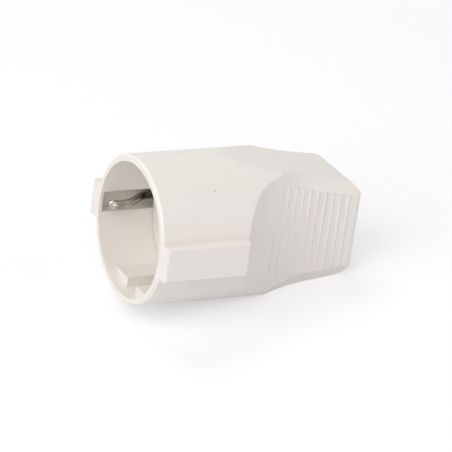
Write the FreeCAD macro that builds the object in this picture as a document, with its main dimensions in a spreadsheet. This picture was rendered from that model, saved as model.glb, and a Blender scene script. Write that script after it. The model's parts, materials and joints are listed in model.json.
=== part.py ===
"""Inline earthed socket: a one-piece housing with a screwed-in contact carrier.

Build frame: X runs from the mouth of the plug well (x = 0) to the rear, Y is the line of the earth
clips and Z the line of the plug's pins. The finished pieces are then laid on the sloping underside
of the grip, which is how the socket comes to rest.
"""
import FreeCAD, Part
import Sketcher
import os
import re
from math import atan, atan2, degrees, sqrt

# Driving sizes in millimetres
SIZES = {
    # Housing outside
    "total_length": 68.6,
    "barrel_radius": 21.8,
    "rim_bevel": 0.6,
    "facet_start": 27.0,
    "rear_half_height": 14.35,
    "waist_half_width": 10.9,
    "waist_place": 45.4,
    "scoop_radius": 20.0,
    "flare_radius": 160.0,
    "bevel_half_width": 8.05,
    "bevel_run": 2.0,
    "bevel_drop": 3.6,
    "bevel_bend": 55.5,
    "bevel_sweep": 35.0,
    "rear_end_round": 6.5,
    "rear_edge_round": 1.8,
    "boss_reach": 25.15,
    "boss_width": 10.4,
    "boss_edge_round": 0.6,
    "scoop_edge_bevel": 0.35,
    # Grip ribs
    "rib_pitch": 2.48,
    "rib_first": 41.85,
    "rib_end": 4.2,
    "rib_radius": 0.62,
    "rib_height": 0.36,
    "rib_margin": 3.9,
    # Plug well
    "well_radius": 19.75,
    "well_depth": 17.5,
    "guide_height": 16.7,
    "guide_reach": 12.0,
    "guide_gap": 5.5,
    "guide_front": 3.4,
    "slot_width": 6.3,
    "boss_wall": 1.95,
    "slot_lip": 1.1,
    "slot_end": 24.0,
    # Housing inside
    "grip_wall": 2.0,
    "rear_wall": 2.5,
    "seat_radius": 17.3,
    "seat_room_end": 28.5,
    "cable_hole_radius": 5.0,
    "bridge_front": 31.5,
    "bridge_depth": 7.0,
    "bridge_height": 7.6,
    # Contact carrier
    "fit_gap": 0.15,
    "floor_thickness": 4.0,
    "pin_spacing": 19.0,
    "pin_hole_radius": 2.75,
    "tower_end": 31.0,
    "tower_width": 12.0,
    "tower_wall": 1.2,
    "chamber_front": 19.0,
    "chamber_size": 7.8,
    "tail_end": 59.0,
    "tail_width": 14.8,
    "tail_top": 4.2,
    "tail_thickness": 1.8,
    # Contacts and terminals
    "sleeve_radius": 3.4,
    "sleeve_bore_radius": 2.45,
    "sleeve_length": 11.6,
    "sleeve_back": 1.2,
    "sleeve_slit": 0.9,
    "spring_wall": 0.4,
    "spring_width": 2.4,
    "spring_place": 21.2,
    "blade_width": 4.4,
    "blade_thickness": 1.0,
    "blade_length": 3.0,
    "terminal_length": 7.0,
    "terminal_size": 6.4,
    "wire_hole_radius": 1.4,
    "terminal_screw_radius": 1.45,
    "terminal_head_radius": 2.6,
    "terminal_head_height": 1.8,
    # Earth strap
    "strap_thickness": 0.8,
    "strap_width": 6.0,
    "strap_half_span": 15.0,
    "clip_width": 2.8,
    "clip_gap": 0.4,
    "clip_bend": 15.8,
    "clip_press_place": 6.4,
    "clip_press_radius": 15.2,
    "clip_tip_place": 1.9,
    "clip_tip_radius": 17.2,
    "clip_bend_round": 6.0,
    "clip_tip_round": 1.2,
    "clip_edge_bevel": 0.2,
    "earth_screw_place": 9.5,
    "earth_bush_radius": 2.5,
    "earth_bush_length": 2.4,
    "earth_washer_size": 6.2,
    "earth_washer_thickness": 0.9,
    # Carrier screw and nut
    "screw_radius": 1.75,
    "screw_head_radius": 3.2,
    "screw_head_height": 2.2,
    "screw_head_sink": 0.3,
    "screw_tip": 37.3,
    "thread_gap": 0.05,
    "nut_size": 6.0,
    "nut_thickness": 2.6,
    "nut_place": 33.6,
    "slot_cut_width": 0.8,
    "slot_cut_depth": 0.9,
    # Cord clamp
    "clamp_front": 49.0,
    "clamp_length": 7.0,
    "clamp_foot": 1.6,
    "clamp_arch_radius": 2.5,
    "clamp_arch_wall": 1.3,
    "clamp_screw_spacing": 12.2,
    "clamp_screw_radius": 1.4,
    "clamp_head_radius": 2.1,
    "clamp_head_height": 1.5,
    "clamp_post_size": 4.8,
    "clamp_post_length": 4.0,
}

SPARE = "2"
SCRATCH_CELL = "D1"
ALIAS = re.compile(r"[a-z]+_[a-z_]+")
PLANES = {
    "XY": FreeCAD.Rotation(),
    "XZ": FreeCAD.Rotation(FreeCAD.Vector(1, 0, 0), 90),
    "YZ": FreeCAD.Rotation(FreeCAD.Vector(0, 1, 0), FreeCAD.Vector(0, 0, 1), FreeCAD.Vector(1, 0, 0), "ZXY"),
}
AXES = {"x": FreeCAD.Vector(1, 0, 0), "y": FreeCAD.Vector(0, 1, 0), "z": FreeCAD.Vector(0, 0, 1)}
UP = AXES["z"]

# Expressions that several pieces share
SEAT = "(well_depth + floor_thickness)"
FACET_SLOPE = "((barrel_radius - rear_half_height) / (total_length - facet_start))"
PIN = "(pin_spacing / 2)"
SLOT_BACK = "(boss_reach - boss_wall)"
CLIP_ROOT = "(boss_reach - boss_wall - clip_gap - strap_thickness)"
TERMINAL_FRONT = "(chamber_front + sleeve_length + fit_gap + sleeve_back)"

doc = FreeCAD.newDocument("inline_socket")
sheet = doc.addObject("Spreadsheet::Sheet", "sizes")
for row, (alias, number) in enumerate(SIZES.items(), start=1):
    sheet.set(f"A{row}", alias.replace("_", " "))
    sheet.set(f"B{row}", str(number))
    sheet.setAlias(f"B{row}", alias)
doc.recompute()


def value(text):
    """Number that an expression over the sheet's aliases gives."""
    sheet.set(SCRATCH_CELL, "=" + text)
    sheet.recompute()
    return float(sheet.get(SCRATCH_CELL))


def bind(item, expressions):
    """Tie properties of an object to expressions over the sheet's aliases."""
    for path, text in expressions.items():
        item.setExpression(path, ALIAS.sub(lambda found: "sizes." + found.group(0), text))
    return item


def place(item, x, y, z):
    return bind(item, {"Placement.Base.x": x, "Placement.Base.y": y, "Placement.Base.z": z})


def block(name, low, high):
    """Box between two opposite corners."""
    item = doc.addObject("Part::Box", name)
    for side, start, end in zip(("Length", "Width", "Height"), low, high):
        bind(item, {side: f"({end}) - ({start})"})
    return place(item, *low)


def rod(name, radius, length, x="0", y="0", z="0", axis="x"):
    """Cylinder that starts at a point and runs along one axis."""
    item = doc.addObject("Part::Cylinder", name)
    item.Placement.Rotation = FreeCAD.Rotation(UP, AXES[axis])
    bind(item, {"Radius": radius, "Height": length})
    return place(item, x, y, z)


def fuse(name, pieces):
    item = doc.addObject("Part::MultiFuse", name)
    item.Shapes = pieces
    item.Refine = True
    return item


def common(name, pieces):
    item = doc.addObject("Part::MultiCommon", name)
    item.Shapes = pieces
    item.Refine = True
    return item


def cut(name, base, tools):
    item = doc.addObject("Part::Cut", name)
    item.Base = base
    item.Tool = tools[0] if len(tools) == 1 else fuse(name + "_tools", tools)
    item.Refine = True
    return item


def arc_between(start, end, radius, bulge):
    """Minor arc between two points; bulge is 1 to the right of the way it runs and -1 to the left."""
    run = end - start
    left = FreeCAD.Vector(-run.y, run.x, 0).normalize()
    centre = (start + end) / 2 + left * bulge * sqrt(radius ** 2 - (run.Length / 2) ** 2)
    first, last = (start, end) if bulge > 0 else (end, start)
    angles = [atan2(point.y - centre.y, point.x - centre.x) for point in (first, last)]
    return Part.ArcOfCircle(Part.Circle(centre, UP, radius), *angles)


def outline(name, plane, points, arcs=None):
    """Closed sketch through points given as expressions; arcs maps a side's number to (radius, bulge)."""
    arcs = arcs or {}
    sketch = doc.addObject("Sketcher::SketchObject", name)
    sketch.Placement.Rotation = PLANES[plane]
    corners = [FreeCAD.Vector(value(x), value(y), 0) for x, y in points]
    count = len(corners)
    ends = []
    for side, start in enumerate(corners):
        end = corners[(side + 1) % count]
        radius, bulge = arcs.get(side, (None, 1))
        if radius:
            sketch.addGeometry(arc_between(start, end, value(radius), bulge))
        else:
            sketch.addGeometry(Part.LineSegment(start, end))
        ends.append((1, 2) if bulge > 0 else (2, 1))
    for side in range(count):
        after = (side + 1) % count
        sketch.addConstraint(Sketcher.Constraint("Coincident", side, ends[side][1], after, ends[after][0]))
    for side, point in enumerate(points):
        for letter, axis, text in zip("XY", (-2, -1), point):
            vertex = ends[side][0]
            if text == "0":
                sketch.addConstraint(Sketcher.Constraint("PointOnObject", side, vertex, axis))
                continue
            limit = Sketcher.Constraint("Distance" + letter, side, vertex, value(text))
            label = f"{letter}{side}"
            sketch.renameConstraint(sketch.addConstraint(limit), label)
            bind(sketch, {"Constraints." + label: text})
    for side, (radius, bulge) in arcs.items():
        label = f"R{side}"
        sketch.renameConstraint(sketch.addConstraint(Sketcher.Constraint("Radius", side, value(radius))), label)
        bind(sketch, {"Constraints." + label: radius})
    return sketch


def rounded_box(name, half_width, half_height, radius):
    """Upright oblong across the part with four rounded corners."""
    points = []
    for across, up in ((1, -1), (1, 1), (-1, 1), (-1, -1)):
        upright = (f"{across} * ({half_width})", f"{up} * ({half_height} - {radius})")
        level = (f"{across} * ({half_width} - {radius})", f"{up} * ({half_height})")
        points += [level, upright] if across * up < 0 else [upright, level]
    return outline(name, "YZ", points, {side: (radius, 1) for side in (0, 2, 4, 6)})


def prism(name, sketch, length):
    """Sketch drawn out evenly to both sides of its plane."""
    item = doc.addObject("Part::Extrusion", name)
    item.Base = sketch
    item.DirMode = "Normal"
    item.Symmetric = True
    item.Solid = True
    return bind(item, {"LengthFwd": length})


def turned(name, sketch):
    """Sketch turned about the X axis."""
    item = doc.addObject("Part::Revolution", name)
    item.Source = sketch
    item.Axis = AXES["x"]
    item.Base = FreeCAD.Vector()
    item.Angle = 360
    item.Solid = True
    return item


def edged(kind, name, base, size, wanted):
    """Fillet or chamfer on every edge that the test picks out."""
    doc.recompute()
    item = doc.addObject(kind, name)
    item.Base = base
    width = value(size)
    item.Edges = [(number, width, width) for number, edge in enumerate(base.Shape.Edges, 1) if wanted(edge)]
    return item


def rounded(name, base, radius, wanted):
    return edged("Part::Fillet", name, base, radius, wanted)


def bevelled(name, base, width, wanted):
    return edged("Part::Chamfer", name, base, width, wanted)


def screw(name, axis, way, top, shank, head, height, length):
    """Slotted screw whose head's top is at a point; its shank runs the given way along the axis."""
    along = "xyz".index(axis)
    over, across = [number for number in range(3) if number != along]

    def spot(depth):
        point = list(top)
        point[along] = f"({top[along]}) + ({depth}) * ({way})"
        return point

    def span(near, far):
        return (near, far) if way > 0 else (far, near)

    head_start = spot(span("0", height)[0])
    shank_start = spot(span(height, length)[0])
    head_rod = rod(name + "_head", head, height, *head_start, axis=axis)
    shank_rod = rod(name + "_shank", shank, f"({length}) - ({height})", *shank_start, axis=axis)
    near, far = span("0", "slot_cut_depth")
    low = spot(near)
    high = spot(far)
    low[over] = f"({top[over]}) - ({head})"
    high[over] = f"({top[over]}) + ({head})"
    low[across] = f"({top[across]}) - slot_cut_width / 2"
    high[across] = f"({top[across]}) + slot_cut_width / 2"
    return cut(name, fuse(name + "_blank", [head_rod, shank_rod]), [block(name + "_slot", low, high)])


def scoop_width(x):
    """Half width of the grip between its two scoops at a place along the part."""
    radius = "scoop_radius" if value(x) < value("waist_place") else "flare_radius"
    return f"(waist_half_width + {radius} - sqrt({radius}^2 - ({x} - waist_place)^2))"


def facet_height(x):
    """Half height between the two sloping facets at a place along the part."""
    return f"(barrel_radius - ({x} - facet_start) * {FACET_SLOPE})"


def tapered_outline(name, front, rear, half_height, radius):
    """Upright outline between the sloping facets, rounded where they meet its rear end."""
    reach = f"({radius} * (sqrt(1 + {FACET_SLOPE}^2) - {FACET_SLOPE}))"
    run = f"({reach} / sqrt(1 + {FACET_SLOPE}^2))"
    start = f"({half_height} + ({rear} - ({front})) * {FACET_SLOPE})"
    upper = [
        (rear, f"({half_height} - {reach})"),
        (f"({rear} - {run})", f"({half_height} + {run} * {FACET_SLOPE})"),
        (front, start),
    ]
    lower = [(x, "-" + z) for x, z in reversed(upper)]
    return outline(name, "XZ", lower + upper, {1: (radius, 1), 3: (radius, 1)})


def flare_corner():
    """Ends of the arc that rounds a flared side into the rear end: on the side and on the end."""
    reach = "(total_length - rear_edge_round - waist_place)"
    rise = f"sqrt((flare_radius + rear_edge_round)^2 - {reach}^2)"
    part_way = "(flare_radius / (flare_radius + rear_edge_round))"
    middle = "(waist_half_width + flare_radius)"
    on_side = (f"(waist_place + {reach} * {part_way})", f"({middle} - {rise} * {part_way})")
    on_end = ("total_length", f"({middle} - {rise})")
    return on_side, on_end


def bevel_cutters():
    """Slanting cuts that bevel the grip's four long edges and run out in a curve towards the barrel."""
    front = "(bevel_bend - 0.6 * bevel_sweep)"
    rear = "(total_length + " + SPARE + ")"
    cutters = []
    for up in (-1, 1):
        for side in (-1, 1):
            name = f"bevel_{len(cutters) + 1}"
            sketch = outline(name + "_outline", "XY", [
                (front, f"{side} * (bevel_half_width + 0.2 * bevel_sweep)"),
                ("bevel_bend", f"{side} * bevel_half_width"),
                (rear, f"{side} * bevel_half_width"),
                (rear, f"{side} * 2 * barrel_radius"),
                (front, f"{side} * 2 * barrel_radius"),
            ], {0: ("bevel_sweep", side)})
            place(sketch, "0", "0", f"{up} * {facet_height('waist_place')}")
            item = doc.addObject("Part::Extrusion", name)
            item.Base = sketch
            item.DirMode = "Custom"
            item.Dir = FreeCAD.Vector(0, side * value("bevel_run"), -up * value("bevel_drop"))
            item.Solid = True
            cutters.append(bind(item, {"LengthFwd": "barrel_radius", "LengthRev": "barrel_radius"}))
    return cutters


def housing_outside():
    """Barrel and bosses, trimmed by the scoops and the facets of the grip."""
    barrel = turned("barrel", outline("barrel_profile", "XY", [
        ("0", "0"),
        ("total_length", "0"),
        ("total_length", "barrel_radius"),
        ("rim_bevel", "barrel_radius"),
        ("0", "barrel_radius - rim_bevel"),
    ]))
    bosses = prism("bosses", rounded_box("boss_outline", "boss_reach", "boss_width / 2", "boss_edge_round"),
                   "2 * waist_place")
    scoop_start = "(waist_place - sqrt(scoop_radius^2 - (waist_half_width + scoop_radius - boss_reach)^2))"
    near_side = [
        ("0", "(boss_reach - boss_edge_round)"),
        ("boss_edge_round", "boss_reach"),
        (scoop_start, "boss_reach"),
        ("waist_place", "waist_half_width"),
        *flare_corner(),
    ]
    curves = [("boss_edge_round", 1), None, ("scoop_radius", -1), ("flare_radius", -1), ("rear_edge_round", 1)]
    arcs = {}
    for side, curve in enumerate(curves):
        if curve:
            arcs[side] = curve
            arcs[2 * len(curves) - side] = curve
    far_side = list(reversed(near_side))
    plan = prism("plan", outline("plan_outline", "XY", [(x, "-" + y) for x, y in near_side] + far_side, arcs),
                 "4 * barrel_radius")
    side = prism("side", tapered_outline("side_outline", "0", "total_length", "rear_half_height",
                                         "rear_end_round"), "4 * barrel_radius")
    grip = cut("grip", common("grip_block", [plan, side]), bevel_cutters())
    trimmed = common("trimmed_housing", [fuse("barrel_and_bosses", [barrel, bosses]), grip])
    scoop = value("scoop_radius")
    waist = value("waist_place")

    def radii(edge):
        faces = trimmed.Shape.ancestorsOfType(edge, Part.Face)
        return [getattr(face.Surface, "Radius", 0) for face in faces]

    def rims_scoop(edge):
        box = edge.BoundBox
        return scoop in radii(edge) and box.XMax < waist - 0.01

    return bevelled("housing_outside", trimmed, "scoop_edge_bevel", rims_scoop)


def grip_ribs():
    """Low upright ribs across both scoops, between the bevels."""
    ribs = []
    room = value("total_length - rib_end - rib_first")
    for number in range(int(room / value("rib_pitch")) + 1):
        x = f"(rib_first + {number} * rib_pitch)"
        half = f"({facet_height(x)} - rib_margin)"
        middle = f"({scoop_width(x)} + rib_height - rib_radius)"
        for word, side in (("near", "-1"), ("far", "1")):
            ribs.append(rod(f"{word}_rib_{number + 1}", "rib_radius", f"2 * {half}",
                            x, f"{side} * {middle}", "-" + half, axis="z"))
    return ribs


def guide_blocks(name, gap):
    """The four keys at the top and bottom of the well, drawn larger or smaller by a gap."""
    keys = []
    for up in (-1, 1):
        for side in (-1, 1):
            heights = sorted((f"{up} * (guide_height - {gap})", f"{up} * barrel_radius"), key=value)
            widths = sorted((f"{side} * (guide_gap / 2 - {gap})", f"{side} * guide_reach"), key=value)
            keys.append(block(f"{name}_{len(keys) + 1}", ("guide_front", widths[0], heights[0]),
                              (SEAT, widths[1], heights[1])))
    return keys


def housing_shell():
    """One moulding: plug well, clip slots, guide blocks, hollow grip, nut bridge and cable hole."""
    mouth = rod("mouth", "well_radius", "guide_front + " + SPARE, "-" + SPARE)
    bore = rod("well_bore", "well_radius", f"{SEAT} - guide_front", "guide_front")
    well = cut("well", bore, guide_blocks("guide", "0"))
    seat_room = rod("seat_room", "seat_radius", f"seat_room_end - {SEAT} + 1", f"{SEAT} - 1")
    slots = block("clip_slots", ("slot_lip", "-" + SLOT_BACK, "-slot_width / 2"),
                  ("slot_end", SLOT_BACK, "slot_width / 2"))
    back = "(total_length - rear_wall)"
    hollow_sides = prism("hollow_sides", tapered_outline(
        "hollow_outline", "seat_room_end - 1", back, f"({facet_height(back)} - grip_wall)",
        "(rear_end_round - grip_wall)"), "2 * (waist_half_width - grip_wall)")
    hollow_round = rod("hollow_round", "barrel_radius - grip_wall", "total_length")
    bridge = block("bridge", ("bridge_front", "-barrel_radius", "-bridge_height / 2"),
                   ("bridge_front + bridge_depth", "barrel_radius", "bridge_height / 2"))
    hollow = cut("hollow", common("hollow_blank", [hollow_sides, hollow_round]), [bridge])
    screw_way = rod("screw_way", "screw_radius + fit_gap", "bridge_depth + 2", "bridge_front - 1")
    nut_way = block("nut_way", ("nut_place - fit_gap", "-nut_size / 2 - fit_gap", "-nut_size / 2 - fit_gap"),
                    ("nut_place + nut_thickness + fit_gap", "nut_size / 2 + fit_gap", "bridge_height"))
    cable_hole = rod("cable_hole", "cable_hole_radius", "rear_wall + " + SPARE, "total_length - rear_wall - 1")
    body = fuse("ribbed_housing", [housing_outside()] + grip_ribs())
    tools = [mouth, well, seat_room, slots, hollow, screw_way, nut_way, cable_hole]
    return cut("housing_shell", body, tools)


def contact_carrier():
    """Insert that floors the well: pin holes, contact chambers, screw hole and the cord clamp's tail."""
    disc = cut("disc", rod("disc_blank", "well_radius - fit_gap", "floor_thickness", "well_depth"),
               guide_blocks("disc_key", "fit_gap"))
    chamber = "(chamber_size / 2)"
    solids = [disc]
    holes = [
        rod("head_recess", "screw_head_radius + fit_gap", "screw_head_sink + screw_head_height", "well_depth"),
        rod("screw_hole", "screw_radius + fit_gap", "floor_thickness", "well_depth"),
        rod("bush_recess", "earth_bush_radius + fit_gap", "earth_bush_length + fit_gap",
            f"{SEAT} - earth_bush_length - fit_gap", "earth_screw_place"),
    ]
    for word, side in (("live", 1), ("neutral", -1)):
        middle = f"({side} * {PIN})"
        outer = f"({chamber} + tower_wall)"
        solids.append(block(word + "_tower", (f"{SEAT} - 1", "-tower_width / 2", f"{middle} - {outer}"),
                            ("tower_end", "tower_width / 2", f"{middle} + {outer}")))
        holes.append(block(word + "_chamber", ("chamber_front", f"-{chamber}", f"{middle} - {chamber}"),
                           ("tower_end + 1", chamber, f"{middle} + {chamber}")))
        holes.append(rod(word + "_pin_hole", "pin_hole_radius", "floor_thickness", "well_depth", z=middle))
    solids.append(block("tail", (f"{SEAT} - 1", "-tail_width / 2", "-tail_top - tail_thickness"),
                        ("tail_end", "tail_width / 2", "-tail_top")))
    for side in (-1, 1):
        x = "clamp_front + clamp_length / 2"
        y = f"{side} * clamp_screw_spacing / 2"
        foot = "-tail_top - tail_thickness - clamp_post_length"
        name = "left" if side < 0 else "right"
        solids.append(block(f"{name}_post", (f"{x} - clamp_post_size / 2", f"{y} - clamp_post_size / 2", foot),
                            (f"{x} + clamp_post_size / 2", f"{y} + clamp_post_size / 2", "-tail_top")))
        holes.append(rod(f"{name}_post_hole", "clamp_screw_radius + thread_gap",
                         "tail_thickness + clamp_post_length", x, y, foot, axis="z"))
    return cut("contact_carrier", fuse("carrier_blank", solids), holes)


def contact(word, side):
    """Split brass sleeve with a closed back and a blade for its terminal block."""
    middle = f"({side} * {PIN})"
    front = "(chamber_front + fit_gap)"
    sleeve = rod(word + "_sleeve", "sleeve_radius", "sleeve_length + sleeve_back", front, z=middle)
    blade = block(word + "_blade", (f"{TERMINAL_FRONT} - 1", "-blade_width / 2", f"{middle} - blade_thickness / 2"),
                  (f"{TERMINAL_FRONT} + blade_length", "blade_width / 2", f"{middle} + blade_thickness / 2"))
    bore = rod(word + "_bore", "sleeve_bore_radius", "sleeve_length", front, z=middle)
    slit = block(word + "_slit", (front, "-sleeve_radius", f"{middle} - sleeve_slit / 2"),
                 (f"{front} + sleeve_length", "sleeve_radius", f"{middle} + sleeve_slit / 2"))
    return cut(word + "_contact", fuse(word + "_contact_blank", [sleeve, blade]), [bore, slit])


def contact_spring(word, side):
    """Steel ring, open on one side, that holds the halves of a sleeve together."""
    middle = f"({side} * {PIN})"
    ring = rod(word + "_ring", "sleeve_radius + spring_wall", "spring_width", "spring_place", z=middle)
    inside = rod(word + "_ring_inside", "sleeve_radius", "spring_width", "spring_place", z=middle)
    gap = block(word + "_ring_gap", ("spring_place", "0", f"{middle} - sleeve_slit"),
                ("spring_place + spring_width", "2 * sleeve_radius", f"{middle} + sleeve_slit"))
    return cut(word + "_contact_spring", ring, [inside, gap])


def terminal_block(word, side):
    """Brass block with a wire hole, a screw hole and a slot for the contact's blade."""
    middle = f"({side} * {PIN})"
    half = "(terminal_size / 2)"
    end = f"({TERMINAL_FRONT} + terminal_length)"
    body = block(word + "_terminal_body", (TERMINAL_FRONT, f"-{half}", f"{middle} - {half}"),
                 (end, half, f"{middle} + {half}"))
    blade_slot = block(word + "_blade_slot",
                       (TERMINAL_FRONT, "-blade_width / 2", f"{middle} - blade_thickness / 2"),
                       (f"{TERMINAL_FRONT} + blade_length", "blade_width / 2", f"{middle} + blade_thickness / 2"))
    wire_hole = rod(word + "_wire_hole", "wire_hole_radius", "terminal_length - blade_length",
                    f"{TERMINAL_FRONT} + blade_length", z=middle)
    screw_hole = rod(word + "_screw_hole", "terminal_screw_radius + thread_gap", half,
                     f"{end} - terminal_size / 3", "0", middle, axis="y")
    return cut(word + "_terminal_block", body, [blade_slot, wire_hole, screw_hole])


def terminal_screw(word, side):
    top = [f"{TERMINAL_FRONT} + terminal_length - terminal_size / 3",
           "terminal_size / 2 + terminal_head_height", f"{side} * {PIN}"]
    return screw(word + "_terminal_screw", "y", -1, top, "terminal_screw_radius", "terminal_head_radius",
                 "terminal_head_height", "terminal_head_height + terminal_size / 2 - wire_hole_radius / 2")


def strap_corner(before, corner, after):
    """Corner of the strip's outer face, one thickness from its inner face on both sides."""
    slopes = []
    for start, end in ((before, corner), (corner, after)):
        slopes.append(f"((({end[1]}) - ({start[1]})) / (({end[0]}) - ({start[0]})))")
    rises = [f"(strap_thickness * sqrt(1 + {slope}^2))" for slope in slopes]
    shift = f"(({rises[0]} - {rises[1]}) / ({slopes[1]} - {slopes[0]}))"
    return f"({corner[0]}) + {shift}", f"({corner[1]}) + {slopes[0]} * {shift} + {rises[0]}"


def earth_strap():
    """One folded strip: a base behind the carrier's floor and a sprung clip at each end."""
    back = f"({SEAT} + strap_thickness)"
    tip = ("clip_tip_place", "clip_tip_radius")
    press = ("clip_press_place", "clip_press_radius")
    bend = ("clip_bend", CLIP_ROOT)
    root = (SEAT, CLIP_ROOT)
    top = f"({CLIP_ROOT} + strap_thickness)"
    arm = [
        root,
        bend,
        press,
        tip,
        (tip[0], f"({tip[1]}) + strap_thickness"),
        strap_corner(tip, press, bend),
        strap_corner(press, bend, root),
        (back, top),
    ]
    mirrored = [(x, f"-({y})") for x, y in reversed(arm)]
    strip = prism("strip", outline("strip_outline", "XY", arm + mirrored), "clip_width")
    width = value("clip_width")
    thickness = value("strap_thickness")
    tip_end = value("clip_tip_place")
    bends = [value(text) for text in ("clip_press_place", "clip_bend")]

    def is_bend(edge):
        box = edge.BoundBox
        near = [abs(box.XMin - spot) for spot in bends]
        return box.ZLength > width - 0.01 and min(near) < thickness

    def is_tip_corner(edge):
        box = edge.BoundBox
        return box.ZLength < 0.01 and box.XMax < tip_end + 0.01

    def is_side(edge):
        box = edge.BoundBox
        return box.ZLength < 0.01 and abs(abs(box.ZMin) - width / 2) < 0.01

    bent = rounded("bent_strip", strip, "clip_bend_round", is_bend)
    tipped = rounded("tipped_strip", bent, "clip_tip_round", is_tip_corner)
    strip_soft = bevelled("soft_strip", tipped, "clip_edge_bevel", is_side)
    base = block("strap_base", (SEAT, "-strap_half_span", "-strap_width / 2"),
                 (back, "strap_half_span", "strap_width / 2"))
    bush = rod("earth_bush", "earth_bush_radius", "earth_bush_length", f"{SEAT} - earth_bush_length",
               "earth_screw_place")
    holes = [
        rod("strap_screw_hole", "screw_radius + fit_gap", "strap_thickness + 2", f"{SEAT} - 1"),
        rod("bush_hole", "terminal_screw_radius + thread_gap", "earth_bush_length + strap_thickness",
            f"{SEAT} - earth_bush_length", "earth_screw_place"),
    ]
    return cut("earth_strap", fuse("strap_blank", [strip_soft, base, bush]), holes)


def earth_clamp_washer():
    low = f"({SEAT} + strap_thickness)"
    high = f"({low} + earth_washer_thickness)"
    half = "earth_washer_size / 2"
    plate = block("washer_plate", (low, f"earth_screw_place - {half}", f"-{half}"),
                  (high, f"earth_screw_place + {half}", half))
    hole = rod("washer_hole", "terminal_screw_radius + fit_gap", "earth_washer_thickness", low,
               "earth_screw_place")
    return cut("earth_clamp_washer", plate, [hole])


def earth_terminal_screw():
    under_head = f"({SEAT} + strap_thickness + earth_washer_thickness)"
    top = [f"{under_head} + terminal_head_height", "earth_screw_place", "0"]
    return screw("earth_terminal_screw", "x", -1, top, "terminal_screw_radius", "terminal_head_radius",
                 "terminal_head_height",
                 "terminal_head_height + earth_washer_thickness + strap_thickness + earth_bush_length")


def carrier_screw():
    top = ["well_depth + screw_head_sink", "0", "0"]
    return screw("carrier_screw", "x", 1, top, "screw_radius", "screw_head_radius", "screw_head_height",
                 "screw_tip - well_depth - screw_head_sink")


def carrier_nut():
    half = "nut_size / 2"
    body = block("nut_body", ("nut_place", f"-{half}", f"-{half}"), ("nut_place + nut_thickness", half, half))
    hole = rod("nut_hole", "screw_radius + thread_gap", "nut_thickness", "nut_place")
    return cut("carrier_nut", body, [hole])


def cord_clamp_bar():
    """Saddle bar that lies on the carrier's tail, with an arch for the cord."""
    low = ("clamp_front", "-tail_width / 2", "-tail_top")
    foot = block("clamp_feet", low, ("clamp_front + clamp_length", "tail_width / 2", "clamp_foot - tail_top"))
    arch = rod("clamp_arch", "clamp_arch_radius + clamp_arch_wall", "clamp_length", "clamp_front", z="-tail_top")
    upper = block("clamp_upper", low, ("clamp_front + clamp_length", "tail_width / 2", "tail_top"))
    holes = [rod("cord_way", "clamp_arch_radius", "clamp_length", "clamp_front", z="-tail_top")]
    for side in (-1, 1):
        holes.append(rod(f"clamp_hole_{'left' if side < 0 else 'right'}", "clamp_screw_radius + fit_gap",
                         "clamp_foot", "clamp_front + clamp_length / 2", f"{side} * clamp_screw_spacing / 2",
                         "-tail_top", axis="z"))
    bar = common("clamp_blank", [fuse("clamp_fused", [foot, arch]), upper])
    return cut("cord_clamp_bar", bar, holes)


def cord_clamp_screws():
    pair = []
    for side in (-1, 1):
        top = ["clamp_front + clamp_length / 2", f"{side} * clamp_screw_spacing / 2",
               "clamp_foot + clamp_head_height - tail_top"]
        name = f"clamp_screw_{'left' if side < 0 else 'right'}"
        pair.append(screw(name, "z", -1, top, "clamp_screw_radius", "clamp_head_radius", "clamp_head_height",
                          "clamp_head_height + clamp_foot + tail_thickness + clamp_post_length - 1"))
    group = doc.addObject("Part::Compound", "cord_clamp_screws")
    group.Links = pair
    return group


def rest_placement(shape):
    """Turn that lays the lower facet on z = 0 with the origin under the middle of the box."""
    slope = degrees(atan(value(FACET_SLOPE)))
    turn = FreeCAD.Placement(FreeCAD.Vector(), FreeCAD.Rotation(AXES["y"], slope))
    turned_shape = shape.copy()
    turned_shape.Placement = turn.multiply(turned_shape.Placement)
    box = turned_shape.optimalBoundingBox(False, False)
    shift = FreeCAD.Vector(-box.Center.x, -box.Center.y, -box.ZMin)
    return FreeCAD.Placement(shift, turn.Rotation)


pieces = [housing_shell(), contact_carrier()]
for word, side in (("live", 1), ("neutral", -1)):
    pieces.append(contact(word, side))
    pieces.append(contact_spring(word, side))
    pieces.append(terminal_block(word, side))
    pieces.append(terminal_screw(word, side))
pieces += [earth_strap(), earth_clamp_washer(), earth_terminal_screw(), carrier_screw(), carrier_nut()]
pieces += [cord_clamp_bar(), cord_clamp_screws()]
sheet.clear(SCRATCH_CELL)
doc.recompute()

rest = rest_placement(pieces[0].Shape)
for piece in pieces:
    piece.Placement = rest
doc.recompute()

for item in doc.Objects:
    if "Invalid" in item.State or "Error" in item.State:
        raise RuntimeError(f"{item.Label} did not build: {item.State}")
for piece in pieces:
    if piece.Shape.isNull() or not piece.Shape.isValid():
        raise RuntimeError(f"{piece.Label} has no sound shape")

os.makedirs("parts", exist_ok=True)
for piece in pieces:
    piece.Shape.exportStep(f"parts/{piece.Label}.step")
    print(piece.Label, len(piece.Shape.Solids), round(piece.Shape.Volume, 1))
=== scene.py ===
"""Finishes and studio for an inline earthed socket, laid out as an add-on.

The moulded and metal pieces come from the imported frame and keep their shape. Each operator dresses one
group of like pieces. The earth strap's operator also adds a pressed bead along each of its two clips,
and the last operator sets the pale studio round the socket.
"""
import json
from math import atan2, cos, pi, sin

import bmesh
import bpy
from bpy.props import FloatProperty, FloatVectorProperty, PointerProperty
from mathutils import Matrix, Vector
from mathutils.bvhtree import BVHTree


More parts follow.
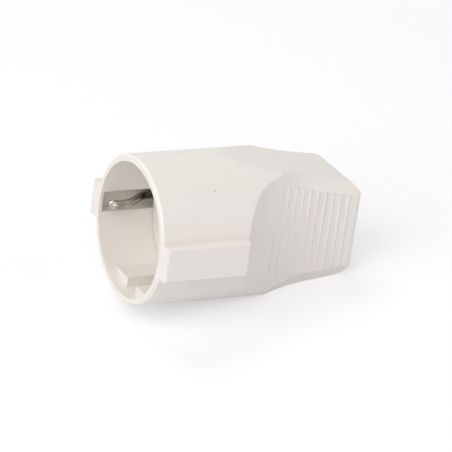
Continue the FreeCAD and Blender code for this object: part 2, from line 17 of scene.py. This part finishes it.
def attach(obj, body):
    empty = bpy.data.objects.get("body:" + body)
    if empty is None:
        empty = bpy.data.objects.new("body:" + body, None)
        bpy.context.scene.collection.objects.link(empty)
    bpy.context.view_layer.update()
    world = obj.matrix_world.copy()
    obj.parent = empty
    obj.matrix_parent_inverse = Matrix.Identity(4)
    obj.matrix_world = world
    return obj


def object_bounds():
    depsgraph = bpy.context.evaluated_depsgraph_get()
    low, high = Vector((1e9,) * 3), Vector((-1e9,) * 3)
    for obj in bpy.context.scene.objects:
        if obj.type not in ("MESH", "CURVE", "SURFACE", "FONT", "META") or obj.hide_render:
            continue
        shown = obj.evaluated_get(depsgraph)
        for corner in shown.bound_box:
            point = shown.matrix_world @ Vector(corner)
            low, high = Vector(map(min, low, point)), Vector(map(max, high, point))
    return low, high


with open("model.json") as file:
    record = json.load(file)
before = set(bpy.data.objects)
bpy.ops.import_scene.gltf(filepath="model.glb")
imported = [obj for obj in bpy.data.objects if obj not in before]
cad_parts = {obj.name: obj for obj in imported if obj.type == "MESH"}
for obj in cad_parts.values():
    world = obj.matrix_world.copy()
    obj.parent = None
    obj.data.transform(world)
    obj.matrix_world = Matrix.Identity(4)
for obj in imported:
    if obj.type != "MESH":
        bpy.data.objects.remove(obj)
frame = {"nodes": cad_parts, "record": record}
cad_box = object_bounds()

bl_info = {
    "name": "Inline Socket Finishes",
    "version": (1, 0, 0),
    "blender": (4, 5, 0),
    "location": "View3D > Sidebar > Socket",
    "description": "Dresses the moulded and metal pieces of an inline socket and sets a pale studio",
    "category": "Object",
}

# nodes of the frame that share a finish
HOUSING = ("housing_shell",)
CARRIER = ("contact_carrier", "cord_clamp_bar")
BRASS = ("live_contact", "neutral_contact", "live_terminal_block", "neutral_terminal_block")
STRAP = ("earth_strap",)
STEEL = (
    "live_contact_spring",
    "neutral_contact_spring",
    "live_terminal_screw",
    "neutral_terminal_screw",
    "earth_clamp_washer",
    "earth_terminal_screw",
    "carrier_screw",
    "carrier_nut",
    "cord_clamp_screws",
)

# dark specks in the housing's plastic, each with its place and its darkness: the first is on the barrel
# and the second at the rear end of the near boss
SPECKS = (
    ((-0.01174, -0.0138, 0.03963), 1.0),
    ((-0.00773, -0.0251, 0.01778), 0.3),
)
SPECK_COLOUR = (0.2, 0.18, 0.16)

# moulded plastic: width of its flow marks and how they shade it, width of its gloss patches and how they
# change its roughness, relief of its grain, rays that soften its edges, and its refraction
FLOW_SIZE = 0.009
FLOW_SHADES = (0.985, 1.015)
PATCH_SIZE = 0.004
PATCH_CHANGES = (-0.04, 0.05)
GRAIN_STRENGTH = 0.18
GRAIN_HEIGHT = 0.00002
EDGE_RAYS = 4
PLASTIC_IOR = 1.5

# metals: sizes of their drawn streaks into the well, across the clips and along the line of the pins,
# and how dark and how light the streaks shade each one; on the earth strap the shading is mostly painted
# reflection
BRASS_STREAK = (0.004, 0.0004, 0.0004)
BRASS_SHADES = (0.8, 1.05)
# the earth strap's streaks are shaded far darker and lighter than the others: over its drawn streaks they
# are painted reflections, light and dark lines along the clips
STRAP_STREAK_AND_REFLECTION_LINE_SIZES = (0.012, 0.004, 0.0005)
STRAP_STREAK_AND_PAINTED_REFLECTION_SHADES = (0.45, 1.2)
STEEL_STREAK = (0.002, 0.0012, 0.003)
STEEL_SHADES = (0.85, 1.05)

# how the streaks change a metal's roughness, and their relief
STREAK_CHANGES = (-0.07, 0.1)
STREAK_STRENGTH = 0.25
STREAK_HEIGHT = 0.00001

# middle stretch of a noise, which is spread over the whole range of a finish
NOISE_LOW = 0.3
NOISE_HIGH = 0.7

# clip beads: stations along each one, facets over its half round, depth of its foot inside the strip,
# how late its ends taper and the share of its section that is left there
BEAD_STATIONS = 60
BEAD_FACETS = 12
BEAD_SEAT = 0.00004
BEAD_TAPER = 8
BEAD_END_SHARE = 0.04

# way from the near earth clip to the far one
ACROSS_WELL = Vector((0, 1, 0))

# camera: sensor in millimetres, and how far it sees in metres
SENSOR_WIDTH = 36
VIEW_REACH = 20

# colour sockets of a Mix node, by number because several of its sockets share a name
MIX_FACTOR = 0
MIX_FIRST = 6
MIX_SECOND = 7
MIX_RESULT = 2

WHITE = (1, 1, 1, 1)


def colour(name, description, default):
    """Colour that a user can change."""
    return FloatVectorProperty(
        name=name, description=description, default=default, subtype="COLOR", size=3, min=0, max=1)


def share(name, description, default):
    """Number from 0 to 1 that a user can change."""
    return FloatProperty(
        name=name, description=description, default=default, subtype="FACTOR", min=0, max=1)


def length(name, description, default):
    """Length in metres that a user can change."""
    return FloatProperty(name=name, description=description, default=default, unit="LENGTH", min=0)


def strength(name, description, default):
    """Strength of a light that a user can change."""
    return FloatProperty(name=name, description=description, default=default, min=0)


def spot(name, description, default):
    """Place in the frame that a user can change."""
    return FloatVectorProperty(
        name=name, description=description, default=default, subtype="TRANSLATION", size=3)


def way(name, description, default):
    """Direction that a user can change."""
    return FloatVectorProperty(
        name=name, description=description, default=default, subtype="DIRECTION", size=3)


class SocketFinish(bpy.types.PropertyGroup):
    """Colours and surface values of the pieces."""

    housing_colour: colour("Housing", "Warm white of the moulded housing", (0.85, 0.805, 0.755))
    housing_roughness: share("Housing Roughness", "Satin gloss of the housing", 0.42)
    carrier_colour: colour(
        "Carrier", "Off-white of the contact carrier and the clamp bar", (0.78, 0.74, 0.68))
    carrier_roughness: share("Carrier Roughness", "Gloss of the contact carrier and the clamp bar", 0.5)
    brass_colour: colour("Brass", "Contacts and terminal blocks", (0.78, 0.57, 0.27))
    brass_roughness: share("Brass Roughness", "Gloss of the contacts and terminal blocks", 0.3)
    strap_colour: colour("Earth Strap", "Plated spring strip of the earth clips", (0.57, 0.525, 0.47))
    strap_roughness: share("Earth Strap Roughness", "Gloss of the plated spring strip", 0.2)
    steel_colour: colour("Steel", "Screws, nut, washer and springs", (0.5, 0.5, 0.51))
    steel_roughness: share("Steel Roughness", "Gloss of the screws, nut, washer and springs", 0.32)
    bead_width: length("Bead Width", "Width of the pressed bead along each earth clip", 0.0011)
    bead_height: length("Bead Height", "Height of the bead over the clip's inner face", 0.0005)
    bead_start: length("Bead Start", "How far inside the mouth each bead starts", 0.0028)
    bead_end: length("Bead End", "How far inside the mouth each bead ends", 0.0145)
    speck_size: length("Speck Size", "Width of the dark specks in the housing's plastic", 0.0005)
    edge_softness: length("Edge Softness", "Width of the softened edges on moulded pieces", 0.0003)
    grain_size: length("Grain Size", "Size of the mould's fine grain", 0.0007)


class SocketStudio(bpy.types.PropertyGroup):
    """Camera, lamps and floor."""

    camera_place: spot("Camera Place", "Where the camera stands", (-0.35457, -0.72505, 0.45224))
    camera_right: way(
        "Camera Right", "Way that the picture's right side points", (0.89317, -0.44909, -0.02431))
    camera_up: way("Camera Up", "Way that the picture's top points", (0.23167, 0.41309, 0.88073))
    camera_lens: FloatProperty(
        name="Lens", description="Focal length on a 36 mm sensor", default=251.59, unit="CAMERA", min=1)
    key_place: spot(
        "Key Place", "Where the lamp over the near side of the mouth stands", (-0.45, -0.45, 0.6))
    mouth_place: spot("Mouth Place", "Where the lamp in front of the mouth stands", (-0.67, -0.12, 0.59))
    grip_place: spot("Grip Place", "Where the lamp beside the grip stands", (0.55, -0.55, 0.4))
    back_place: spot("Back Place", "Where the lamp high behind the socket stands", (0.05, 0.5, 0.72))
    lamp_size: length("Lamp Size", "Width of the lamps over the near side and beside the grip", 0.8)
    mouth_lamp_size: length("Mouth Lamp Size", "Width of the lamp in front of the mouth", 1.0)
    back_lamp_size: length("Back Lamp Size", "Width of the lamp high behind the socket", 0.5)
    key_power: strength("Key Power", "Strength of the lamp over the near side of the mouth", 2.7)
    mouth_power: strength("Mouth Power", "Strength of the lamp in front of the mouth", 4.5)
    grip_power: strength("Grip Power", "Strength of the lamp beside the grip", 2.0)
    back_power: strength("Back Power", "Strength of the lamp high behind the socket", 2.35)
    sky_strength: strength("Sky", "Even light from all round", 0.18)
    floor_colour: colour("Floor", "Colour of the floor as it throws light back", (0.872, 0.87, 0.9))
    floor_seen: colour("Floor Seen", "Colour of the floor where it is seen directly", (0.55, 0.55, 0.55))
    floor_glow: strength("Floor Glow", "White added to the floor where it is seen directly", 0.48)
    floor_fade_start: length(
        "Floor Fade Start", "Distance from the socket where the floor starts to turn white", 0.25)
    floor_fade_end: length("Floor Fade End", "Distance from the socket where the floor is all white", 0.7)
    floor_half: length("Floor Half Width", "Half the width of the floor", 4.0)


def add(tree, kind, place, **inputs):
    """Node of a kind at a place in the node editor, with values for its inputs: From_Min sets From Min."""
    node = tree.nodes.new(kind)
    node.location = place
    for name, number in inputs.items():
        node.inputs[name.replace("_", " ")].default_value = number
    return node


def empty_tree(owner):
    """Node tree of a material or a world, with nothing in it."""
    owner.use_nodes = True
    owner.node_tree.nodes.clear()
    return owner.node_tree


def new_finish(name):
    """New material, its node tree and its surface shader, which is joined to the output."""
    material = bpy.data.materials.new(name)
    tree = empty_tree(material)
    surface = add(tree, "ShaderNodeBsdfPrincipled", (300, 0))
    output = add(tree, "ShaderNodeOutputMaterial", (600, 0))
    tree.links.new(surface.outputs["BSDF"], output.inputs["Surface"])
    return material, tree, surface


def noise(tree, place, size, detail):
    """Noise in the part's own space whose features are about one size wide."""
    where = add(tree, "ShaderNodeTexCoord", (place[0] - 200, place[1]))
    node = add(tree, "ShaderNodeTexNoise", place, Scale=1 / size, Detail=detail)
    tree.links.new(where.outputs["Object"], node.inputs["Vector"])
    return node.outputs["Fac"]


def spread(tree, place, factor, low, high):
    """Number that goes evenly from low to high over the middle stretch of a noise."""
    node = add(tree, "ShaderNodeMapRange", place,
               From_Min=NOISE_LOW, From_Max=NOISE_HIGH, To_Min=low, To_Max=high)
    tree.links.new(factor, node.inputs["Value"])
    return node.outputs["Result"]


def mixed(tree, place, factor, first, second):
    """Colour that goes evenly from the first, which may be another node's colour, to the second."""
    node = add(tree, "ShaderNodeMix", place)
    node.data_type = "RGBA"
    node.inputs[MIX_SECOND].default_value = (*second, 1)
    tree.links.new(factor, node.inputs[MIX_FACTOR])
    if isinstance(first, bpy.types.NodeSocket):
        tree.links.new(first, node.inputs[MIX_FIRST])
    else:
        node.inputs[MIX_FIRST].default_value = (*first, 1)
    return node.outputs[MIX_RESULT]


def shaded(tint, factors):
    """Darker and lighter colours that the factors make of a tint."""
    return [tuple(channel * factor for channel in tint) for factor in factors]


def changed(roughness, changes):
    """Lowest and highest roughness that the changes make."""
    return [roughness + change for change in changes]


def speckled(tree, tinted, specks, size):
    """Darken a colour at small round specks, given by their places on the part and their darkness."""
    where = add(tree, "ShaderNodeTexCoord", (-900, 700))
    for row, (place, darkness) in enumerate(specks):
        level = 700 + 250 * row
        away = add(tree, "ShaderNodeVectorMath", (-700, level))
        away.operation = "DISTANCE"
        away.inputs[1].default_value = place
        dark = add(tree, "ShaderNodeMapRange", (-500, level),
                   From_Min=size / 2, From_Max=size / 4, To_Max=darkness)
        tree.links.new(where.outputs["Object"], away.inputs[0])
        tree.links.new(away.outputs["Value"], dark.inputs["Value"])
        tinted = mixed(tree, (-300, level), dark.outputs["Result"], tinted, SPECK_COLOUR)
    return tinted


def moulded(name, tint, roughness, finish, specks=()):
    """Moulded plastic: faint flow marks, fine grain, softened edges and perhaps a few specks."""
    material, tree, surface = new_finish(name)
    flow = noise(tree, (-900, 300), FLOW_SIZE, detail=3)
    flowed = mixed(tree, (-600, 300), flow, *shaded(tint, FLOW_SHADES))
    tinted = speckled(tree, flowed, specks, finish.speck_size)
    patches = noise(tree, (-900, -200), PATCH_SIZE, detail=2)
    gloss = spread(tree, (-600, -200), patches, *changed(roughness, PATCH_CHANGES))
    grain = noise(tree, (-900, -500), finish.grain_size, detail=2)
    edge = add(tree, "ShaderNodeBevel", (-600, -700), Radius=finish.edge_softness)
    edge.samples = EDGE_RAYS
    bump = add(tree, "ShaderNodeBump", (-100, -400), Strength=GRAIN_STRENGTH, Distance=GRAIN_HEIGHT)
    tree.links.new(tinted, surface.inputs["Base Color"])
    tree.links.new(gloss, surface.inputs["Roughness"])
    tree.links.new(grain, bump.inputs["Height"])
    tree.links.new(edge.outputs["Normal"], bump.inputs["Normal"])
    tree.links.new(bump.outputs["Normal"], surface.inputs["Normal"])
    surface.inputs["IOR"].default_value = PLASTIC_IOR
    return material


def well_axes():
    """Middle of the plug well's mouth, the way into the well and the way across the clips' width."""
    well = next(mount for mount in frame["record"]["mounts"] if mount["name"] == "plug_well")
    inward = -Vector(well["axis"]).normalized()
    return Vector(well["pos_m"]), inward, inward.cross(ACROSS_WELL)


def well_tilt():
    """How far the way into the well points below level, as a turn about Y."""
    inward = well_axes()[1]
    return atan2(-inward.z, inward.x)


def metal(name, tint, roughness, streak, streak_and_reflection_shades):
    """Bare or plated metal whose drawn streaks, sized along the well's axes, change colour and gloss; with
    the earth strap's strong shades the colour streaks are painted reflection lines.
    """
    material, tree, surface = new_finish(name)
    where = add(tree, "ShaderNodeTexCoord", (-1300, 0))
    turned = add(tree, "ShaderNodeMapping", (-1100, 0), Rotation=(0, well_tilt(), 0), Scale=streak)
    turned.vector_type = "TEXTURE"
    drawn = add(tree, "ShaderNodeTexNoise", (-900, 0), Scale=1.0, Detail=3)
    streaks = drawn.outputs["Fac"]
    # colour streaks: drawn streaks on brass and steel, and on the earth strap painted reflections as light
    # and dark lines
    streak_and_painted_reflection_lightness = spread(tree, (-650, 200), streaks, 0.0, 1.0)
    tinted = mixed(tree, (-400, 200), streak_and_painted_reflection_lightness, *shaded(tint, streak_and_reflection_shades))
    gloss = spread(tree, (-400, -200), streaks, *changed(roughness, STREAK_CHANGES))
    bump = add(tree, "ShaderNodeBump", (-100, -400), Strength=STREAK_STRENGTH, Distance=STREAK_HEIGHT)
    tree.links.new(where.outputs["Object"], turned.inputs["Vector"])
    tree.links.new(turned.outputs["Vector"], drawn.inputs["Vector"])
    tree.links.new(tinted, surface.inputs["Base Color"])
    tree.links.new(gloss, surface.inputs["Roughness"])
    tree.links.new(streaks, bump.inputs["Height"])
    tree.links.new(bump.outputs["Normal"], surface.inputs["Normal"])
    surface.inputs["Metallic"].default_value = 1.0
    return material


def link(item):
    """Put an object into the scene and hand it back."""
    bpy.context.scene.collection.objects.link(item)
    return item


def dress(names, material):
    """Give nodes of the frame one finish, in all the slots that they have."""
    for name in names:
        slots = frame["nodes"][name].data.materials
        for number in range(len(slots)):
            slots[number] = material


class SOCKET_OT_housing(bpy.types.Operator):
    """Give the one-piece housing its warm white moulded finish"""

    bl_idname = "socket.housing"
    bl_label = "Housing"

    def execute(self, context):
        finish = context.scene.socket_finish
        plastic = moulded(
            "housing_plastic", finish.housing_colour, finish.housing_roughness, finish, SPECKS)
        dress(HOUSING, plastic)
        return {"FINISHED"}


class SOCKET_OT_carrier(bpy.types.Operator):
    """Give the contact carrier and the cord clamp's bar their off-white moulded finish"""

    bl_idname = "socket.carrier"
    bl_label = "Contact Carrier"

    def execute(self, context):
        finish = context.scene.socket_finish
        plastic = moulded(
            "carrier_plastic", finish.carrier_colour, finish.carrier_roughness, finish)
        dress(CARRIER, plastic)
        return {"FINISHED"}


class SOCKET_OT_contacts(bpy.types.Operator):
    """Give the contact sleeves and terminal blocks their brass finish"""

    bl_idname = "socket.contacts"
    bl_label = "Brass Contacts"

    def execute(self, context):
        finish = context.scene.socket_finish
        brass = metal(
            "contact_brass", finish.brass_colour, finish.brass_roughness, BRASS_STREAK, BRASS_SHADES)
        dress(BRASS, brass)
        return {"FINISHED"}


def clip_line(outward, finish):
    """Points along the middle of a clip's inner face, found by looking outwards from the well's axis."""
    mouth, inward, _ = well_axes()
    mesh = frame["nodes"]["earth_strap"].data
    corners = [corner.co for corner in mesh.vertices]
    faces = [face.vertices for face in mesh.polygons]
    strap = BVHTree.FromPolygons(corners, faces)
    points = []
    for station in range(BEAD_STATIONS + 1):
        depth = finish.bead_start + (finish.bead_end - finish.bead_start) * station / BEAD_STATIONS
        place = strap.ray_cast(mouth + inward * depth, outward)[0]
        if place is None:
            raise RuntimeError("no earth clip was found where its bead belongs")
        points.append(place)
    return points


def bead_corners(outward, finish):
    """Half-round rows of points along a clip, smaller at the ends, with their feet inside the strip."""
    line = clip_line(outward, finish)
    across = well_axes()[2]
    corners = []
    for station, place in enumerate(line):
        ahead = line[min(station + 1, BEAD_STATIONS)] - line[max(station - 1, 0)]
        raised = ahead.cross(across).normalized()
        if raised.dot(outward) > 0:
            raised.negate()
        from_middle = 2 * station / BEAD_STATIONS - 1
        fullness = max(BEAD_END_SHARE, 1 - from_middle ** BEAD_TAPER) ** 0.5
        for facet in range(BEAD_FACETS + 1):
            angle = pi * facet / BEAD_FACETS
            aside = across * (cos(angle) * finish.bead_width / 2 * fullness)
            above = raised * (sin(angle) * finish.bead_height * fullness - BEAD_SEAT)
            corners.append(place + aside + above)
    return corners


def bead_faces():
    """Bands of faces between neighbouring rows of a bead, and one face that closes each end."""
    row = BEAD_FACETS + 1
    faces = []
    for station in range(BEAD_STATIONS):
        for facet in range(row):
            here = station * row + facet
            beside = station * row + (facet + 1) % row
            faces.append((here, beside, beside + row, here + row))
    last = BEAD_STATIONS * row
    return faces + [tuple(range(row)), tuple(range(last, last + row))]


def clip_bead(name, outward, finish, plating):
    """Bead along one clip, plated as the strap is, which stays with the socket."""
    mesh = bpy.data.meshes.new(name)
    mesh.from_pydata(bead_corners(outward, finish), [], bead_faces())
    shape = bmesh.new()
    shape.from_mesh(mesh)
    bmesh.ops.recalc_face_normals(shape, faces=shape.faces)
    shape.to_mesh(mesh)
    shape.free()
    mesh.shade_smooth()
    mesh.materials.append(plating)
    bead = link(bpy.data.objects.new(name, mesh))
    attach(bead, "root")


class SOCKET_OT_earth_strap(bpy.types.Operator):
    """Give the earth strap its plated finish and each of its two clips a pressed bead"""

    bl_idname = "socket.earth_strap"
    bl_label = "Earth Strap"

    def execute(self, context):
        finish = context.scene.socket_finish
        # the plating's strong light and dark lines along the clips are painted reflections over drawn
        # streaks
        plating = metal(
            "clip_metal", finish.strap_colour, finish.strap_roughness, STRAP_STREAK_AND_REFLECTION_LINE_SIZES, STRAP_STREAK_AND_PAINTED_REFLECTION_SHADES)
        dress(STRAP, plating)
        clip_bead("near_clip_bead", -ACROSS_WELL, finish, plating)
        clip_bead("far_clip_bead", ACROSS_WELL, finish, plating)
        return {"FINISHED"}


class SOCKET_OT_fasteners(bpy.types.Operator):
    """Give the screws, nut, washer and springs their zinc-plated steel finish"""

    bl_idname = "socket.fasteners"
    bl_label = "Screws and Springs"

    def execute(self, context):
        finish = context.scene.socket_finish
        steel = metal(
            "screw_steel", finish.steel_colour, finish.steel_roughness, STEEL_STREAK, STEEL_SHADES)
        dress(STEEL, steel)
        return {"FINISHED"}


def seen_directly(tree, place):
    """1 for rays from the camera, a mirror or clear glass, and 0 for the rest."""
    path = add(tree, "ShaderNodeLightPath", place)
    total = path.outputs["Is Camera Ray"]
    for step, name in enumerate(("Is Glossy Ray", "Is Transmission Ray"), 1):
        larger = add(tree, "ShaderNodeMath", (place[0] + 200 * step, place[1]))
        larger.operation = "MAXIMUM"
        tree.links.new(total, larger.inputs[0])
        tree.links.new(path.outputs[name], larger.inputs[1])
        total = larger.outputs["Value"]
    return total


def mixed_shaders(tree, place, factor, first, second):
    """Shader that goes from the first node's to the second node's as the factor goes from 0 to 1."""
    node = add(tree, "ShaderNodeMixShader", place)
    for source, socket in zip((factor, first.outputs[0], second.outputs[0]), node.inputs):
        tree.links.new(source, socket)
    return node


def pale_world(sky):
    """Even sky light, white where it is seen directly."""
    world = bpy.data.worlds.new("pale_studio")
    tree = empty_tree(world)
    lit = add(tree, "ShaderNodeBackground", (0, 100), Color=WHITE, Strength=sky)
    white = add(tree, "ShaderNodeBackground", (0, -100), Color=WHITE, Strength=1.0)
    around = mixed_shaders(tree, (300, 0), seen_directly(tree, (-700, 300)), lit, white)
    output = add(tree, "ShaderNodeOutputWorld", (500, 0))
    tree.links.new(around.outputs["Shader"], output.inputs["Surface"])
    bpy.context.scene.world = world


def floor_finish(studio):
    """Pale matt finish that keeps the shadow, is lifted where it is seen directly and fades to white."""
    material = bpy.data.materials.new("pale_floor")
    tree = empty_tree(material)
    matt = add(tree, "ShaderNodeBsdfDiffuse", (0, 300), Color=(*studio.floor_colour, 1))
    seen = add(tree, "ShaderNodeBsdfDiffuse", (0, 100), Color=(*studio.floor_seen, 1))
    glow = add(tree, "ShaderNodeEmission", (0, -100), Color=WHITE, Strength=studio.floor_glow)
    white = add(tree, "ShaderNodeEmission", (250, -200), Color=WHITE, Strength=1.0)
    lifted = add(tree, "ShaderNodeAddShader", (250, 0))
    tree.links.new(seen.outputs["BSDF"], lifted.inputs[0])
    tree.links.new(glow.outputs["Emission"], lifted.inputs[1])
    where = add(tree, "ShaderNodeTexCoord", (-300, -300))
    away = add(tree, "ShaderNodeVectorMath", (-100, -300))
    away.operation = "LENGTH"
    fade = add(tree, "ShaderNodeMapRange", (100, -300),
               From_Min=studio.floor_fade_start, From_Max=studio.floor_fade_end)
    fade.interpolation_type = "SMOOTHSTEP"
    tree.links.new(where.outputs["Object"], away.inputs[0])
    tree.links.new(away.outputs["Value"], fade.inputs["Value"])
    faded = mixed_shaders(tree, (450, 0), fade.outputs["Result"], lifted, white)
    surface = mixed_shaders(tree, (650, 200), seen_directly(tree, (-300, 500)), matt, faded)
    output = add(tree, "ShaderNodeOutputMaterial", (850, 200))
    tree.links.new(surface.outputs["Shader"], output.inputs["Surface"])
    return material


def pale_floor(studio):
    """Wide square floor at the height that the socket lies on."""
    half = studio.floor_half
    corners = [(-half, -half, 0), (half, -half, 0), (half, half, 0), (-half, half, 0)]
    mesh = bpy.data.meshes.new("floor")
    mesh.from_pydata(corners, [], [(0, 1, 2, 3)])
    mesh.materials.append(floor_finish(studio))
    floor = link(bpy.data.objects.new("floor", mesh))


def lamp(name, place, aim, size, power):
    """Square soft lamp that looks at a point."""
    light = bpy.data.lights.new(name, "AREA")
    light.shape = "SQUARE"
    light.size = size
    light.energy = power
    item = link(bpy.data.objects.new(name, light))
    item.location = place
    item.rotation_euler = (aim - place).to_track_quat("-Z", "Y").to_euler()


def studio_camera(studio):
    """Camera at its place, turned so that the picture's right side and top point their set ways."""
    right = studio.camera_right.normalized()
    up = studio.camera_up
    up = (up - up.dot(right) * right).normalized()
    turn = Matrix((right, up, right.cross(up))).transposed()
    data = bpy.data.cameras.new("camera")
    data.lens = studio.camera_lens
    data.sensor_width = SENSOR_WIDTH
    data.clip_end = VIEW_REACH
    item = link(bpy.data.objects.new("camera", data))
    item.matrix_world = Matrix.Translation(studio.camera_place) @ turn.to_4x4()
    bpy.context.scene.camera = item


class SOCKET_OT_studio(bpy.types.Operator):
    """Set the pale floor, the soft lamps and the camera"""

    bl_idname = "socket.studio"
    bl_label = "Studio"

    def execute(self, context):
        studio = context.scene.socket_studio
        middle = (cad_box[0] + cad_box[1]) / 2
        pale_world(studio.sky_strength)
        pale_floor(studio)
        lamp("key_lamp", studio.key_place, middle, studio.lamp_size, studio.key_power)
        lamp("mouth_lamp", studio.mouth_place, middle, studio.mouth_lamp_size, studio.mouth_power)
        lamp("grip_lamp", studio.grip_place, middle, studio.lamp_size, studio.grip_power)
        lamp("back_lamp", studio.back_place, middle, studio.back_lamp_size, studio.back_power)
        studio_camera(studio)
        context.scene.view_settings.view_transform = "Standard"
        return {"FINISHED"}


STEPS = (
    SOCKET_OT_housing,
    SOCKET_OT_carrier,
    SOCKET_OT_contacts,
    SOCKET_OT_earth_strap,
    SOCKET_OT_fasteners,
    SOCKET_OT_studio,
)


class SOCKET_PT_sidebar(bpy.types.Panel):
    """Steps and values of the socket's finishes"""

    bl_idname = "SOCKET_PT_sidebar"
    bl_label = "Inline Socket"
    bl_space_type = "VIEW_3D"
    bl_region_type = "UI"
    bl_category = "Socket"

    def draw(self, context):
        for step in STEPS:
            self.layout.operator(step.bl_idname)
        for group in (context.scene.socket_finish, context.scene.socket_studio):
            box = self.layout.box()
            for name in group.__annotations__:
                box.prop(group, name)


CLASSES = (SocketFinish, SocketStudio, *STEPS, SOCKET_PT_sidebar)


def register():
    for item in CLASSES:
        bpy.utils.register_class(item)
    bpy.types.Scene.socket_finish = PointerProperty(type=SocketFinish)
    bpy.types.Scene.socket_studio = PointerProperty(type=SocketStudio)


def unregister():
    del bpy.types.Scene.socket_studio
    del bpy.types.Scene.socket_finish
    for item in reversed(CLASSES):
        bpy.utils.unregister_class(item)


def main():
    register()
    bpy.ops.socket.housing()
    bpy.ops.socket.carrier()
    bpy.ops.socket.contacts()
    bpy.ops.socket.earth_strap()
    bpy.ops.socket.fasteners()
    bpy.ops.socket.studio()


if __name__ == "__main__":
    main()
